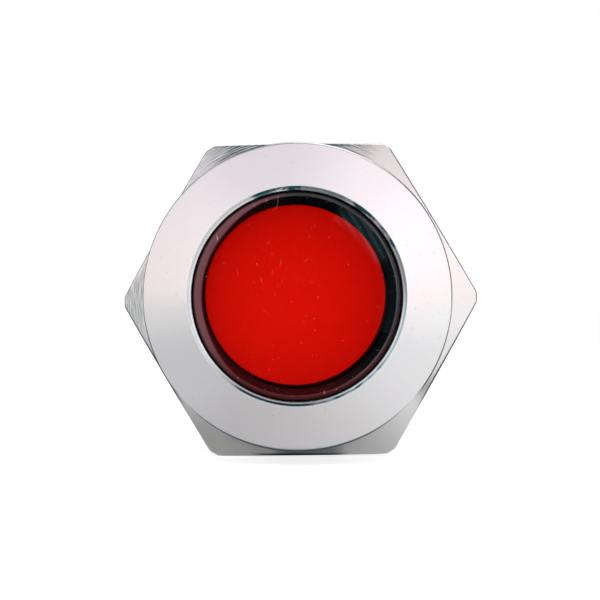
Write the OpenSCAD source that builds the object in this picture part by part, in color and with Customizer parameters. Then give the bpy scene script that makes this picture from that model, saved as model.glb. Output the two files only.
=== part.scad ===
// Panel pilot light for a 22 mm hole: a turned bezel and shank, a red lens,
// an LED insert with its driver board, a terminal base, gasket, lock washer and nut.
//
// Each module draws its piece on the lamp's own axis, where z = 0 is the panel's
// outer face and +z points out of the front. placed() lays that axis along -Y,
// so the lamp looks to the front and +Z stays up.

/* [Bezel] */
// Diameter of the bezel
bezel_d = 25; // [24.4:0.1:28]
// Height of the bezel's straight edge
edge_h = 1.6; // [1.2:0.1:2.4]
// Rise of the conical front, from the edge to the opening
cone_rise = 1; // [0.5:0.1:1.5]
// Break on the bezel's outer corners
edge_break = 0.15; // [0.05:0.05:0.3]
// Diameter of the lens opening
opening_d = 17.1; // [15:0.1:17.4]
// Width of the chamfer round the lens opening, which falls inwards at 30 degrees
opening_chamfer = 0.34; // [0.2:0.02:0.5]
// Thickness of the lip that holds the lens back
lip_t = 1.7; // [1.4:0.1:2.2]

/* [Threaded shank] */
// Major diameter of the thread, and of the plain neck in the panel hole
thread_d = 22; // [21.6:0.1:23]
// Pitch of the thread
pitch = 1; // [0.75:0.05:1.25]
// Length of the plain neck behind the panel's face
neck_l = 2; // [1.5:0.1:3]
// Length of the shank behind the panel's face
shank_l = 16; // [14:0.5:22]
// Wall of the shank under the middle of the thread
shank_wall = 1.1; // [0.9:0.05:1.2]
// Chamfer on the shank's rear end
shank_chamfer = 0.5; // [0.3:0.1:0.7]
// Depth of the relief groove under the bezel
relief_depth = 0.6; // [0.4:0.05:0.65]

/* [Gasket] */
// Thickness of the panel gasket
gasket_t = 1.4; // [1:0.1:2]
// How far the gasket stays inside the bezel's edge
gasket_margin = 0.3; // [0.1:0.1:0.5]
// Radial gap between the gasket and the neck
gasket_gap = 0.05; // [0.05:0.05:0.2]

/* [Nut and lock washer] */
// Room for the panel, from the gasket to the washer, as the nut stands
panel_gap = 4; // [2:0.5:6]
// Width of the nut across its flats
nut_af = 27; // [26.4:0.1:30]
// Thickness of the nut
nut_t = 3; // [2:0.5:5]
// Diameter of the nut's flat faces, where the chamfer of its corners starts
nut_face_d = 25.8; // [24.8:0.1:26]
// Slope of that chamfer, in degrees from the face
nut_chamfer_a = 20; // [15:1:30]
// How far the nut's corners are turned back
nut_corner_cut = 0.25; // [0.1:0.05:0.6]
// Depth of the countersink at both ends of the nut's thread
nut_sink = 0.5; // [0.3:0.1:0.8]
// How far the nut is turned from flats level, in degrees
nut_clock = 0.8; // [0:0.1:30]
// Radial clearance between the nut's bore and the crests of the shank's thread
thread_clear = 0.05; // [0.02:0.01:0.1]
// Outer diameter of the lock washer
washer_d = 25.4; // [24.8:0.1:26]
// Sheet thickness of the lock washer
washer_t = 0.8; // [0.6:0.1:1]
// Width of the washer's ring, outside its teeth
washer_ring = 0.9; // [0.7:0.1:1]
// Number of teeth inside the washer
tooth_count = 16; // [10:1:20]
// Width of a tooth
tooth_w = 1.7; // [1:0.1:2]
// Twist of a tooth about its own length, in degrees
tooth_twist = 14; // [8:1:18]
// Radial gap between the tooth tips and the thread
tooth_gap = 0.12; // [0.08:0.02:0.3]
// Gap between the washer and the nut, which turns against it
washer_gap = 0.05; // [0.03:0.01:0.1]

/* [Lens] */
// How far the lens stands out of the bezel
lens_proud = 0.1; // [0:0.1:0.8]
// Rounding of the lens's front edge
lens_edge_r = 0.6; // [0.3:0.1:0.8]
// Thickness of the window in front of the diffuser
window_t = 1.5; // [1.1:0.1:2]
// Diameter of the blind bore behind the window
lens_bore_d = 14.7; // [13.5:0.1:14.8]
// Thickness of the flange that the lip holds
lens_flange_t = 1.2; // [0.8:0.1:1.6]
// Radial clearance of the lens in the opening
lens_clear = 0.05; // [0.03:0.01:0.1]
// Section of the lens seal
seal_d = 0.8; // [0.6:0.05:0.85]
// Thickness of the diffuser disc
diffuser_t = 0.8; // [0.5:0.1:1.2]

/* [LED insert] */
// Radial clearance of the insert's pieces in the shank
insert_clear = 0.1; // [0.05:0.05:0.2]
// Length of the reflector behind the lens
reflector_l = 3.5; // [3:0.1:4.5]
// Wall of the reflector's nose, inside the lens
nose_wall = 0.6; // [0.4:0.1:0.8]
// Inner diameter of the reflector at the LEDs
reflector_floor_d = 11.4; // [11:0.1:12]
// Thickness of the LED board
led_board_t = 1; // [0.8:0.1:1.6]
// Number of LEDs
led_count = 6; // [3:1:6]
// Radius of the ring of LEDs
led_ring_r = 3.9; // [3.8:0.1:4.1]
// Length of an LED, along the ring
led_l = 3; // [2.6:0.1:3]
// Width of an LED, across the ring
led_w = 2; // [1.6:0.1:2.2]
// Height of an LED
led_h = 1.3; // [0.8:0.1:1.9]
// Wall of the insulating sleeve
sleeve_wall = 0.4; // [0.3:0.05:0.5]

/* [Driver board] */
// Width of the driver board
board_w = 14; // [13:0.5:15]
// Thickness of the driver board
board_t = 1; // [0.8:0.1:1.2]
// Gap between the driver board and the LED board
board_gap = 0.4; // [0.2:0.1:0.8]
// How deep the driver board stands in the base's floor
board_seat = 1.2; // [0.8:0.1:1.6]
// Diameter of the smoothing capacitor
capacitor_d = 6.3; // [5:0.1:6.5]
// Length of the smoothing capacitor
capacitor_l = 7; // [5:0.5:7]
// Diameter of a resistor's body
resistor_d = 2.3; // [1.8:0.1:2.6]
// Length of a resistor's body
resistor_l = 6; // [5:0.5:6.5]
// Distance between a resistor's legs
resistor_span = 9; // [8.5:0.5:10]
// Diameter of a component's leg
leg_d = 0.6; // [0.4:0.05:0.8]
// Side of a square link pin between the boards
link_pin = 0.64; // [0.5:0.02:0.8]
// Distance between the two link pins
link_spacing = 2.54; // [2:0.02:3]
// Margin that the parts keep from the driver board's long edges
board_margin = 0.5; // [0.3:0.1:0.8]

/* [Terminals and base] */
// Length of the base's spigot in the shank
spigot_l = 4; // [3:0.5:5]
// Length of the base behind the shank
base_l = 9; // [8:0.5:12]
// Diameter of the base behind the shank
base_d = 20.2; // [19.6:0.1:20.6]
// Wall of the base behind its floor
base_wall = 1.2; // [1:0.1:1.6]
// Wall of the spigot
spigot_wall = 1; // [0.8:0.1:1.2]
// Thickness of the base's floor
floor_t = 3; // [2.5:0.1:4]
// Depth of the potting well in the base's rear
well_depth = 3; // [2.5:0.1:4]
// How far the potting stays below the base's rim
epoxy_low = 0.5; // [0.2:0.1:1]
// Width of a terminal blade
blade_w = 2.8; // [2:0.1:3.4]
// Thickness of a terminal blade
blade_t = 0.5; // [0.4:0.05:0.8]
// Length of a terminal blade behind the base's rim
blade_l = 6.5; // [5:0.1:9]
// Diameter of the hole in a blade
blade_hole_d = 1.3; // [1:0.1:1.5]
// Distance between the middles of the two blades
blade_spacing = 7.2; // [6:0.1:8]
// Clearance of a terminal or board in its slot in the base
slot_clear = 0.05; // [0.03:0.01:0.1]

/* [Hidden] */
$fn = 96;

// A cut runs this far past the face that it opens
past = 0.5;

// Radii of the shank: the middle of the thread, its root, and the bore
thread_r = thread_d / 2 - 0.3248 * pitch;
root_r = thread_d / 2 - 0.6134 * pitch;
bore_r = thread_r - shank_wall;
insert_r = bore_r - insert_clear;
relief_r = thread_d / 2 - relief_depth;

// Whole turns of thread between the neck and the chamfered end
turns = floor((shank_l - shank_chamfer - neck_l) / pitch - 0.25);

// Places along the axis, from the front to the rear
edge_top = gasket_t + edge_h;
front_z = edge_top + cone_rise;
seat_z = front_z - lip_t;
lens_z = front_z + lens_proud;
window_z = lens_z - window_t;
lens_flange_z = seat_z - seal_d;
reflector_z = lens_flange_z - lens_flange_t;
led_board_z = reflector_z - reflector_l;
sleeve_z = led_board_z - led_board_t;
spigot_z = -shank_l + spigot_l;
base_end_z = -shank_l - base_l;
floor_end_z = base_end_z + well_depth;
floor_z = floor_end_z + floor_t;
board_z = sleeve_z - board_gap;
board_end_z = floor_z - board_seat;
board_l = board_z - board_end_z;

// The driver board lies under the terminal blades, whose middle is on the axis
board_top = -blade_t / 2;
board_bottom = board_top - board_t;

// The washer stands as high as its twisted teeth
washer_h = washer_t * cos(tooth_twist) + tooth_w * sin(tooth_twist);
washer_z = -panel_gap - washer_h / 2;
nut_z = -panel_gap - washer_h - washer_gap;
nut_bore_r = thread_d / 2 + thread_clear;
nut_corner_r = nut_af / 2 / cos(30);

// Lens radii. Its shoulder stops on the lip, and leaves the seal round it the seal's own height.
lens_r = opening_d / 2 - lens_clear;
shoulder_r = insert_r - seal_d;
lens_bore_r = lens_bore_d / 2;
nose_r = lens_bore_r - insert_clear;

// Lays the lamp's axis along -Y, with its own +y turned up
module placed() rotate([90, 0, 0]) children();

// Points of an arc about c, from angle a to angle b
function arc(c, r, a, b, steps = 8) =
  [for (i = [0:steps]) let (t = a + (b - a) * i / steps) [c[0] + r * cos(t), c[1] + r * sin(t)]];

// A ring of the given radii between two heights
module ring(outer_r, inner_r, low_z, high_z)
  translate([0, 0, low_z]) difference() {
    cylinder(r = outer_r, h = high_z - low_z);
    translate([0, 0, -past]) cylinder(r = inner_r, h = high_z - low_z + 2 * past);
  }

// Flanks of the thread, from its first root behind the neck to its last. Each turn is
// a ring, because a nut that turns on rings needs no phase.
function thread_flanks() = [
  for (i = [0:turns - 1]) each [
    [root_r, -neck_l - i * pitch],
    [thread_d / 2, -neck_l - (i + 0.5) * pitch]
  ]
];

// Bezel and threaded shank, turned from one bar
module housing()
  color("silver") placed() rotate_extrude() polygon(concat([
    [opening_d / 2, seat_z],
    [opening_d / 2, front_z - opening_chamfer * tan(30)],
    [opening_d / 2 + opening_chamfer, front_z],
    [bezel_d / 2 - edge_break, edge_top],
    [bezel_d / 2, edge_top - edge_break],
    [bezel_d / 2, gasket_t + edge_break],
    [bezel_d / 2 - edge_break, gasket_t],
    [relief_r, gasket_t],
    [relief_r, 0],
    [thread_d / 2, 0],
    [thread_d / 2, -neck_l]
  ], thread_flanks(), [
    [root_r, -neck_l - turns * pitch],
    [thread_r, -neck_l - (turns + 0.25) * pitch],
    [thread_r, shank_chamfer - shank_l],
    [thread_r - shank_chamfer, -shank_l],
    [bore_r, -shank_l],
    [bore_r, seat_z]
  ]));

// Red lens: a window with a rounded edge, a blind bore behind it, a shoulder and a flange
module lens()
  color("red") placed() rotate_extrude() polygon(concat(
    [[0, window_z], [0, lens_z]],
    arc([lens_r - lens_edge_r, lens_z - lens_edge_r], lens_edge_r, 90, 0),
    [[lens_r, seat_z],
     [shoulder_r, seat_z],
     [shoulder_r, lens_flange_z],
     [insert_r, lens_flange_z],
     [insert_r, reflector_z],
     [lens_bore_r, reflector_z],
     [lens_bore_r, window_z]]));

// Rubber ring squeezed between the lens's flange and the bezel's lip
module lens_seal()
  color("dimgray") placed() translate([0, 0, lens_flange_z + seal_d / 2])
    rotate_extrude() translate([shoulder_r + seal_d / 2, 0]) circle(d = seal_d);

// Milky disc at the end of the lens's blind bore
module diffuser()
  color("white") placed() translate([0, 0, window_z - diffuser_t])
    cylinder(r = nose_r, h = diffuser_t);

// White cup: its nose holds the diffuser, its shoulder pushes on the lens's flange
module reflector()
  color("whitesmoke") placed() rotate_extrude() polygon([
    [nose_r - nose_wall, window_z - diffuser_t],
    [nose_r, window_z - diffuser_t],
    [nose_r, reflector_z],
    [insert_r, reflector_z],
    [insert_r, led_board_z],
    [reflector_floor_d / 2, led_board_z],
    [nose_r - nose_wall, reflector_z]
  ]);

// The two link pins lie on top of the driver board and pass through the LED board
module at_link_pins()
  for (side = [-1, 1]) translate([side * link_spacing / 2, board_top + link_pin / 2, 0]) children();

// Length of a link pin along the driver board, and in front of the LED board
link_lap = 2.5;
link_tip = 0.6;

module led_board()
  color("white") placed() difference() {
    translate([0, 0, sleeve_z]) cylinder(r = insert_r, h = led_board_t);
    at_link_pins() translate([0, 0, sleeve_z - past])
      cylinder(d = link_pin * 1.6, h = led_board_t + 2 * past);
  }

// One LED: a white box with a round well and a cut corner, on two solder feet
led_foot = 0.15;
led_well_depth = 0.5;
module led(number)
  color("lightyellow") placed() rotate([0, 0, 360 / led_count * (number - 0.5)])
    translate([led_ring_r, 0, led_board_z]) {
      difference() {
        translate([-led_w / 2, -led_l / 2, led_foot]) cube([led_w, led_l, led_h - led_foot]);
        translate([0, 0, led_h - led_well_depth])
          cylinder(d1 = led_w * 0.65, d2 = led_w * 0.85, h = led_well_depth);
        translate([led_w / 2, led_l / 2, led_foot - past]) rotate(45)
          cube([led_w / 4, led_w / 4, 4 * led_h], center = true);
      }
      for (end = [-1, 1]) translate([-led_w * 0.4, end * led_l * 0.36 - led_l * 0.14, 0])
        cube([led_w * 0.8, led_l * 0.28, led_foot]);
    }

// Clears or fills the slot of a driver board or blade in the base's floor
module board_slot(gap)
  translate([-board_w / 2 - gap, board_bottom - gap, board_end_z - gap])
    cube([board_w + 2 * gap, board_t + 2 * gap, board_l]);

// A resistor lies along each long edge of the board, on top
resistor_y = board_top + resistor_d / 2;
resistor_setback = 1.2;
resistor_mid_z = board_z - resistor_setback - resistor_span / 2;
resistor_x = board_w / 2 - resistor_d / 2 - board_margin;
module at_legs(x)
  for (end = [-1, 1]) translate([x, 0, resistor_mid_z + end * resistor_span / 2]) children();

// The capacitor lies under the board, as far out as the spigot lets it, a bend's room
// in front of the base's floor, with its legs bent up into the board
capacitor_room = 3.8;
leg_bend = 1.2;
spigot_r = bore_r - slot_clear;
capacitor_y = board_bottom - capacitor_d / 2;
capacitor_reach = spigot_r - spigot_wall - insert_clear - capacitor_d / 2;
capacitor_x = -sqrt(pow(capacitor_reach, 2) - pow(capacitor_y, 2));
capacitor_leg_z = floor_z + capacitor_room;
capacitor_rear_z = capacitor_leg_z + leg_bend;
leg_pitch = 2.5;
module at_capacitor_legs()
  for (side = [-1, 1]) translate([capacitor_x + side * leg_pitch / 2, 0, 0]) children();

// How far a leg stands out of the far side of the board, and its hole's extra width
leg_proud = 0.8;
leg_room = 0.2;

// An upright leg or its hole, along the lamp's own y
module upright(d, low_y, high_y)
  translate([0, low_y, 0]) rotate([-90, 0, 0]) cylinder(d = d, h = high_y - low_y);

module driver_board()
  color("darkgreen") placed() difference() {
    translate([-board_w / 2, board_bottom, board_end_z]) cube([board_w, board_t, board_l]);
    for (side = [-1, 1]) at_legs(side * resistor_x)
      upright(leg_d + leg_room, board_bottom - past, board_top + past);
    at_capacitor_legs() translate([0, 0, capacitor_leg_z])
      upright(leg_d + leg_room, board_bottom - past, board_top + past);
  }

// Surface-mounted rectifier under the board, with four gull-wing feet
bridge = [4, 2.4, 4.7];
bridge_foot = [1.2, 0.25, 0.6];
bridge_x = board_w / 2 - bridge[0] / 2 - bridge_foot[0] - board_margin;
bridge_setback = 2.15;
bridge_z = board_z - bridge_setback - bridge[2] / 2;
module bridge_rectifier()
  color("dimgray") placed() translate([bridge_x, board_bottom, bridge_z]) {
    translate([-bridge[0] / 2, -bridge[1], -bridge[2] / 2])
      cube([bridge[0], bridge[1] - bridge_foot[1] / 2, bridge[2]]);
    for (side = [-1, 1], end = [-1, 1])
      translate([side * (bridge[0] + bridge_foot[0]) / 2, -bridge_foot[1] / 2, end * bridge[2] * 0.27])
        cube([bridge_foot[0] + 0.4, bridge_foot[1], bridge_foot[2]], center = true);
  }

// Resistor with its two legs bent down through the board
module resistor(x)
  color("tan") placed() {
    translate([x, resistor_y, resistor_mid_z]) {
      cylinder(d = resistor_d * 0.85, h = resistor_l, center = true);
      for (end = [-1, 1]) translate([0, 0, end * (resistor_l * 0.35)])
        cylinder(d = resistor_d, h = resistor_l * 0.3, center = true);
      cylinder(d = leg_d, h = resistor_span, center = true);
    }
    at_legs(x) {
      upright(leg_d, board_bottom - leg_proud, resistor_y);
      translate([0, resistor_y, 0]) sphere(d = leg_d);
    }
  }

// Can with a rolled groove near its base, and two legs bent up into the board
can_groove = 0.25;
groove_place = 1.2;
module capacitor()
  color("navy") placed() {
    difference() {
      translate([capacitor_x, capacitor_y, capacitor_rear_z])
        cylinder(d = capacitor_d, h = capacitor_l);
      translate([capacitor_x, capacitor_y, capacitor_rear_z + groove_place])
        rotate_extrude() translate([capacitor_d / 2, 0]) circle(r = can_groove);
    }
    at_capacitor_legs() {
      translate([0, capacitor_y, capacitor_leg_z]) cylinder(d = leg_d, h = leg_bend);
      translate([0, capacitor_y, capacitor_leg_z]) sphere(d = leg_d);
      translate([0, 0, capacitor_leg_z]) upright(leg_d, capacitor_y, board_top + leg_proud);
    }
  }

// Two square pins soldered onto the driver board and through the LED board
module link_pins()
  color("gold") placed() at_link_pins()
    translate([-link_pin / 2, -link_pin / 2, board_z - link_lap])
      cube([link_pin, link_pin, led_board_z + link_tip - board_z + link_lap]);

// Thin tube that keeps the board away from the metal shank
module insulating_sleeve()
  color("ivory") placed() ring(insert_r, insert_r - sleeve_wall, spigot_z, sleeve_z);

// Outline of a terminal: tail on the board, shoulder on the floor, blade and tip
tail_w = 1.8;
tail_lap = 3;
shoulder_w = 4;
shoulder_h = 1.2;
tip_taper = 0.7;
blade_end_z = base_end_z - blade_l;
hole_back = 2.6;
module terminal_outline()
  difference() {
    polygon([
      [tail_w / 2, board_end_z + tail_lap],
      [tail_w / 2, floor_end_z],
      [shoulder_w / 2, floor_end_z],
      [shoulder_w / 2, floor_end_z - shoulder_h],
      [blade_w / 2, floor_end_z - shoulder_h],
      [blade_w / 2, blade_end_z + tip_taper],
      [blade_w / 2 - tip_taper, blade_end_z],
      [tip_taper - blade_w / 2, blade_end_z],
      [-blade_w / 2, blade_end_z + tip_taper],
      [-blade_w / 2, floor_end_z - shoulder_h],
      [-shoulder_w / 2, floor_end_z - shoulder_h],
      [-shoulder_w / 2, floor_end_z],
      [-tail_w / 2, floor_end_z],
      [-tail_w / 2, board_end_z + tail_lap]
    ]);
    translate([0, blade_end_z + hole_back]) circle(d = blade_hole_d);
  }

// The terminal's outline stood in the blades' plane, on one side of the axis
module terminal_plate(side)
  translate([side * blade_spacing / 2, blade_t / 2, 0]) rotate([90, 0, 0])
    linear_extrude(blade_t) terminal_outline();

module terminal(side) color("goldenrod") placed() terminal_plate(side);

// Slot for a terminal's tail, through the base's floor
module tail_slot(side)
  translate([side * blade_spacing / 2 - tail_w / 2 - slot_clear, board_top - slot_clear, floor_end_z - past])
    cube([tail_w + 2 * slot_clear, blade_t + 2 * slot_clear, floor_t + 2 * past]);

// Black base: spigot in the shank, collar, floor with slots, potting well
well_r = base_d / 2 - base_wall;
module terminal_base()
  color("black") placed() difference() {
    rotate_extrude() polygon([
      [0, floor_z],
      [spigot_r - spigot_wall, floor_z],
      [spigot_r - spigot_wall, spigot_z],
      [spigot_r, spigot_z],
      [spigot_r, -shank_l],
      [base_d / 2, -shank_l],
      [base_d / 2, base_end_z + edge_break],
      [base_d / 2 - edge_break, base_end_z],
      [well_r, base_end_z],
      [well_r, floor_end_z],
      [0, floor_end_z]
    ]);
    board_slot(slot_clear);
    for (side = [-1, 1]) tail_slot(side);
  }

// Potting that seals the terminals into the well
module epoxy_seal()
  color("darkslategray") placed() difference() {
    translate([0, 0, base_end_z + epoxy_low]) cylinder(r = well_r, h = well_depth - epoxy_low);
    for (side = [-1, 1]) terminal_plate(side);
  }

// Flat rubber ring between the bezel and the panel
module panel_gasket()
  color("black") placed()
    ring(bezel_d / 2 - gasket_margin, thread_d / 2 + gasket_gap, 0, gasket_t);

// Internal-tooth lock washer, its teeth twisted out of the sheet
tooth_tip_r = thread_d / 2 + tooth_gap;
washer_in_r = washer_d / 2 - washer_ring;
module lock_washer()
  color("gainsboro") placed() translate([0, 0, washer_z]) {
    ring(washer_d / 2, washer_in_r, -washer_t / 2, washer_t / 2);
    for (i = [0:tooth_count - 1]) rotate([0, 0, 360 / tooth_count * i])
      intersection() {
        rotate([tooth_twist, 0, 0])
          translate([0, -tooth_w / 2, -washer_t / 2])
            cube([washer_in_r + washer_ring / 3, tooth_w, washer_t]);
        ring(washer_in_r + washer_ring / 3, tooth_tip_r, -washer_h, washer_h);
      }
  }

// What bevels the corners off one face of the nut
module nut_chamfer() {
  far_r = nut_corner_r + past;
  slope = tan(nut_chamfer_a);
  rotate_extrude() polygon([
    [nut_face_d / 2 - past / slope, -past],
    [far_r, -past],
    [far_r, (far_r - nut_face_d / 2) * slope]
  ]);
}

// Hexagon nut, its corners turned back and bevelled on both faces, its thread countersunk
module mounting_nut()
  color("silver") placed() translate([0, 0, nut_z - nut_t]) rotate([0, 0, nut_clock])
    difference() {
      cylinder(r = nut_corner_r, h = nut_t, $fn = 6);
      translate([0, 0, -past]) cylinder(r = nut_bore_r, h = nut_t + 2 * past);
      ring(nut_corner_r + past, nut_corner_r - nut_corner_cut, -past, nut_t + past);
      for (end = [0, 1]) translate([0, 0, end * nut_t]) rotate([180 * end, 0, 0]) {
        nut_chamfer();
        cylinder(r1 = nut_bore_r + nut_sink, r2 = nut_bore_r, h = nut_sink);
      }
    }

housing();
lens();
lens_seal();
diffuser();
reflector();
led_board();
for (i = [1:led_count]) led(i);
driver_board();
bridge_rectifier();
resistor(-resistor_x);  // resistor_1
resistor(resistor_x);  // resistor_2
capacitor();
link_pins();
insulating_sleeve();
terminal_base();
terminal(-1);  // terminal_1
terminal(1);  // terminal_2
epoxy_seal();
panel_gasket();
lock_washer();
mounting_nut();
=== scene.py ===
# %% [markdown]
# # A panel pilot light
#
# The object is the small red signal lamp that is screwed through a round hole in a control panel. It
# is laid along the Y axis: its red window looks to -Y, its two blades point to +Y, and +Z is up. A CAD
# model of the same lamp is loaded first. It gives every place and every size, and the pieces below put
# finer surfaces over its solids: rounded edges, a real screw thread, a lens with depth.

# %% Load the CAD frame
import math

import bmesh
import bpy
import numpy as np
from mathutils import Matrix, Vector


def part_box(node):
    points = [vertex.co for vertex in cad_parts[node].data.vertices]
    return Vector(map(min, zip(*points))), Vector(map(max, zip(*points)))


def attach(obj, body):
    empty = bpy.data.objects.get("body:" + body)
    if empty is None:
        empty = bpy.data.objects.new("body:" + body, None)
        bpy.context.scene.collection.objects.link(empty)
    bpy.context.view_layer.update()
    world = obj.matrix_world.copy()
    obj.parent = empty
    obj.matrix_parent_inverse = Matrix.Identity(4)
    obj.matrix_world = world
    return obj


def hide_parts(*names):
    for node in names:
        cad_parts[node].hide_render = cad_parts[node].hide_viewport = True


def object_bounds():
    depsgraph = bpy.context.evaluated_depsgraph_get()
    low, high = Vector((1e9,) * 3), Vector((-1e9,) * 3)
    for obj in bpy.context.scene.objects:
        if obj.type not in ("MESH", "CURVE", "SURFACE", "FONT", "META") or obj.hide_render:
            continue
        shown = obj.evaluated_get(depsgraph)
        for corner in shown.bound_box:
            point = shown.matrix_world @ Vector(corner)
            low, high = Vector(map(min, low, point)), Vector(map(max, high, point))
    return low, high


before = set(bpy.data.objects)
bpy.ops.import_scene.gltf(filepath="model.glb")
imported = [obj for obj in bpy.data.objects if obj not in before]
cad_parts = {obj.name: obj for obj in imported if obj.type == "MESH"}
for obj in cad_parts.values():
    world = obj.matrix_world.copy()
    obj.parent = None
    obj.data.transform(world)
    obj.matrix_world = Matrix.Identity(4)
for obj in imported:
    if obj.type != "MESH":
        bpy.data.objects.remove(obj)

cad_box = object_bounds()

# %% [markdown]
# ## Sizes
#
# A turned part is known by radii from its axis and by heights along it. Heights are counted from the
# panel's face, and a positive one stands out of the front, so a height is minus the world's Y. Most of
# them are read off the boxes of the CAD nodes. The few that a box can't tell, such as a depth inside a
# piece, are named here in millimetres. The opening and the lens are one or two tenths of a millimetre
# smaller in radius than the solids', and that leaves a fine dark gap of a tenth between them.

# %% Heights and radii, in millimetres
MM = 0.001


def span(node):
    """Outer radius, front height and rear height of a turned node, from its box.

    They are half its width, minus its lowest Y and minus its highest Y."""
    low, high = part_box(node)
    return (high.x - low.x) / 2 / MM, -low.y / MM, -high.y / MM


bezel_r, cone_top, shank_end = span("housing")
lens_flange_r, lens_front, lens_back = span("lens")
disc_r, disc_front, disc_back = span("diffuser")
gasket_r, gasket_top, gasket_low = span("panel_gasket")
base_r, spigot_top, base_end = span("terminal_base")
well_r, potting_low, potting_top = span("epoxy_seal")
nut_wide, nut_front, nut_back = span("mounting_nut")

CONE_RISE = 1.0
EDGE_BREAK = 0.15
OPENING_R = 8.45
OPENING_CHAMFER = 0.38
OPENING_FALL = OPENING_CHAMFER * math.tan(math.radians(30))
LIP = 1.7
SEAT = cone_top - LIP
SHANK_BORE = lens_flange_r + 0.1
RELIEF_R = 10.4
NECK_R = 11.0
NECK_END = -2.0
PITCH = 1.0
PITCH_R = 10.675
GROOVE_R = 10.39
CREST_R = 10.95
NUT_CREST_R = 10.46
NUT_GROOVE_R = 11.02
NUT_FLAT = 13.5
NUT_FACE_R = 12.9
NUT_SLOPE = math.tan(math.radians(20))
NUT_CLOCK = math.radians(0.8)
NUT_CORNER_R = nut_wide
NUT_SINK_R = 11.55
LENS_R = 8.34
LENS_EDGE = 0.37
WINDOW_THICK = 1.5
WINDOW = lens_front - WINDOW_THICK
LENS_BORE = 7.35
SEAL_D = 0.8
print("bezel radius", round(bezel_r, 3), "cone top", round(cone_top, 3), "nut from", round(nut_front, 3))

# %% [markdown]
# ## Two ways to draw a surface
#
# Nearly everything here was made on a lathe, so nearly every surface is a profile carried round the
# lamp's axis. Real corners are never knife sharp: a small rounding catches a thin line of light, and
# without it metal looks like paper. So a profile is written as its few sharp corners, and one function
# rounds them all at once. It also sets a support point close to each rounding, which keeps the smooth
# shading of the rounding from leaking over the flat beside it.

# %% Round the corners of a profile
def rounded(corners, radius, steps=5, hold=0.03):
    """A closed profile, or many at once in the leading axes, with rounded corners.

    At a corner, unit vectors point to its two neighbours and half is half the angle between them. The
    rounding is cut back along both by radius / tan(half), its centre lies on their bisector, and its
    points turn evenly about that centre from one cut to the other. The cut never takes more than four
    tenths of a side. One support point stands hold beyond each cut."""
    corners = np.asarray(corners, float)
    back = np.roll(corners, 1, -2) - corners
    ahead = np.roll(corners, -1, -2) - corners
    back_l = np.linalg.norm(back, axis=-1)
    ahead_l = np.linalg.norm(ahead, axis=-1)
    back, ahead = back / back_l[..., None], ahead / ahead_l[..., None]
    shorter = np.minimum(back_l, ahead_l)
    half = np.arccos(np.clip((back * ahead).sum(-1), -0.9999, 0.9999)) / 2
    cut = np.minimum(np.asarray(radius) / np.tan(half), 0.4 * shorter)
    bisector = back + ahead + 1e-12
    bisector = bisector / np.linalg.norm(bisector, axis=-1, keepdims=True)
    centre = corners + bisector * (cut / np.cos(half))[..., None]
    start, end = corners + back * cut[..., None], corners + ahead * cut[..., None]
    turn = (np.pi - 2 * half)[..., None, None]
    share = np.linspace(0, 1, steps + 1)[:, None]
    arc = centre[..., None, :] + (
        np.sin((1 - share) * turn) * (start - centre)[..., None, :]
        + np.sin(share * turn) * (end - centre)[..., None, :]) / np.sin(turn)
    reach = np.minimum(hold, 0.08 * shorter)[..., None]
    points = np.concatenate([(start + back * reach)[..., None, :], arc,
                             (end + ahead * reach)[..., None, :]], axis=-2)
    return points.reshape(*corners.shape[:-2], -1, 2)


print("a rounded square has", len(rounded([(0, 0), (1, 0), (1, 1), (0, 1)], 0.1)), "points")

# %% Carry a profile round the lamp's axis
def on_lamp(r, turn, out):
    """Points at radius r, angle turn and height out, in millimetres.

    x = r cos(turn), y = -out, z = r sin(turn)."""
    r, turn, out = np.broadcast_arrays(r, turn, out)
    return np.stack([r * np.cos(turn), -out, r * np.sin(turn)], -1)


def full_turn(columns):
    """Angles of a whole turn. The last repeats the first, and merging the points closes the seam."""
    return np.linspace(0, 2 * np.pi, columns + 1)


def turned(profile, turn, closed=True):
    """A sheet of rows by columns: row i is profile point i, carried to every angle in turn."""
    profile = np.concatenate([profile, profile[:1]]) if closed else profile
    return on_lamp(profile[:, :1], turn[None, :], profile[:, 1:])


# %% [markdown]
# A sheet is a grid of points. Neighbours in the grid become four-cornered faces, and where the grid
# meets itself or another sheet the points fall in the same place and are merged. At a pole a whole row
# falls together, and its faces become the triangles of a fan. What is left is one closed skin, whose
# faces can then be turned outwards without doubt.

# %% From sheets to a mesh object
pieces_made = {}


def faces_of(rows, columns, first):
    """Four corner numbers of each grid face, for a grid whose first point has the number first."""
    number = first + np.arange(rows * columns).reshape(rows, columns)
    return np.stack([number[:-1, :-1], number[1:, :-1], number[1:, 1:], number[:-1, 1:]], -1).reshape(-1, 4)


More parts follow.
